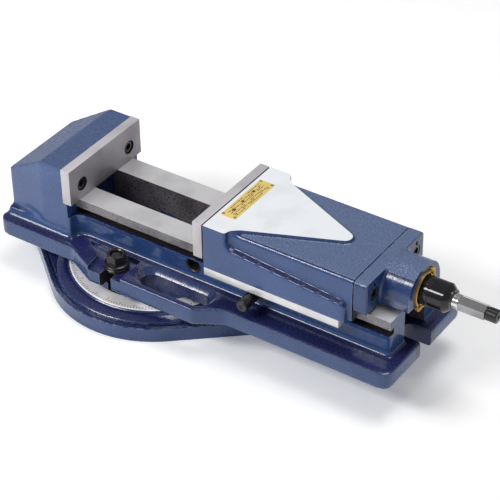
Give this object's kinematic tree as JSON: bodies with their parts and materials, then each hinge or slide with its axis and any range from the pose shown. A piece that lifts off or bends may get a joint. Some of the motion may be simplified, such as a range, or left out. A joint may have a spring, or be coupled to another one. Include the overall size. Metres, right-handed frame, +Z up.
{
  "type": "machine vise",
  "caption": "Machine vise on a swivel base: fixed jaw and rails in one casting, sliding jaw with removable plates, booster spindle with hexagon drive and locating pin.",
  "frame": {"origin": "swivel axis at the underside of the swivel base", "axes": "+X along the rails from the fixed jaw to the spindle, +Y to the far side, +Z up"},
  "size_m": [0.7415, 0.305, 0.186],
  "materials": {
    "cast_paint": "semi-gloss blue machine enamel over cast iron",
    "turned_steel": "turned steel",
    "black_steel": "black oxide steel",
    "ground_steel": "surface-ground hardened steel",
    "cast_iron": "bare machined cast iron",
    "bronze": "bearing bronze",
    "label": "printed yellow aluminium plate",
    "gold_zinc": "yellow zinc plated steel",
    "rubber": "black nitrile rubber"
  },
  "bodies": {
    "base": {"swivel_base": "cast_paint"},
    "vise": {"vise_body": "cast_paint", "swivel_pivot": "turned_steel", "clamp_t_bolts": "black_steel", "clamp_washers": "black_steel", "fixed_jaw_plate": "ground_steel", "fixed_jaw_screws": "black_steel", "nut_block": "cast_iron", "lead_nut": "bronze", "nut_set_screws": "black_steel"},
    "near_nut": {"clamp_nut_near": "black_steel"},
    "far_nut": {"clamp_nut_far": "black_steel"},
    "pin": {"locating_pin": "black_steel"},
    "jaw": {"movable_jaw": "cast_paint", "movable_jaw_plate": "ground_steel", "movable_jaw_screws": "black_steel", "near_keeper": "ground_steel", "far_keeper": "ground_steel", "keeper_screws": "black_steel", "rating_plate": "label", "rating_plate_rivets": "turned_steel", "pressure_pad": "ground_steel", "rear_flange": "cast_paint", "flange_screws": "black_steel", "flange_dowels": "turned_steel", "spindle_bush": "bronze", "retaining_ring": "gold_zinc", "ring_screws": "gold_zinc", "thrust_washers": "turned_steel", "thrust_rollers": "turned_steel"},
    "spindle": {"lead_screw": "turned_steel", "clutch_sleeve": "black_steel", "shaft_bush": "bronze", "clutch_springs": "turned_steel", "ram_springs": "turned_steel", "ram_retainer": "turned_steel"},
    "ram": {"booster_ram": "turned_steel", "ram_seal": "rubber"},
    "piston": {"primary_piston": "turned_steel", "piston_seal": "rubber"},
    "drive": {"drive_shaft": "turned_steel", "clutch_balls": "turned_steel"}
  },
  "joints": [
    {"name": "swivel", "type": "hinge", "parent": "base", "child": "vise", "pos_m": [0, 0, 0], "axis": [0, 0, 1], "continuous": true},
    {"name": "near_nut_turn", "type": "hinge", "parent": "vise", "child": "near_nut", "pos_m": [0, -0.092, 0.08], "axis": [0, 0, 1], "continuous": true},
    {"name": "far_nut_turn", "type": "hinge", "parent": "vise", "child": "far_nut", "pos_m": [0, 0.092, 0.08], "axis": [0, 0, 1], "continuous": true},
    {"name": "pin_pull", "type": "slide", "parent": "vise", "child": "pin", "axis": [0, -1, 0], "range_m": [0, 0.125]},
    {"name": "jaw_slide", "type": "slide", "parent": "vise", "child": "jaw", "axis": [1, 0, 0], "range_m": [-0.1, 0.012]},
    {"name": "spindle_turn", "type": "hinge", "parent": "jaw", "child": "spindle", "pos_m": [0.359, 0, 0.15], "axis": [1, 0, 0], "range_deg": [-7250, 900]},
    {"name": "drive_turn", "type": "hinge", "parent": "spindle", "child": "drive", "pos_m": [0.459, 0, 0.15], "axis": [1, 0, 0], "range_deg": [-1445, 0]},
    {"name": "piston_slide", "type": "slide", "parent": "spindle", "child": "piston", "axis": [-1, 0, 0], "range_m": [0, 0.008]},
    {"name": "ram_slide", "type": "slide", "parent": "spindle", "child": "ram", "axis": [-1, 0, 0], "range_m": [0, 0.00205]}
  ],
  "couplings": [
    {"joint": "spindle_turn", "follows": "jaw_slide", "rad_per_m": 1256.6},
    {"joint": "drive_turn", "follows": "piston_slide", "rad_per_m": -3141.6},
    {"joint": "ram_slide", "follows": "piston_slide", "ratio": 0.25}
  ]
}
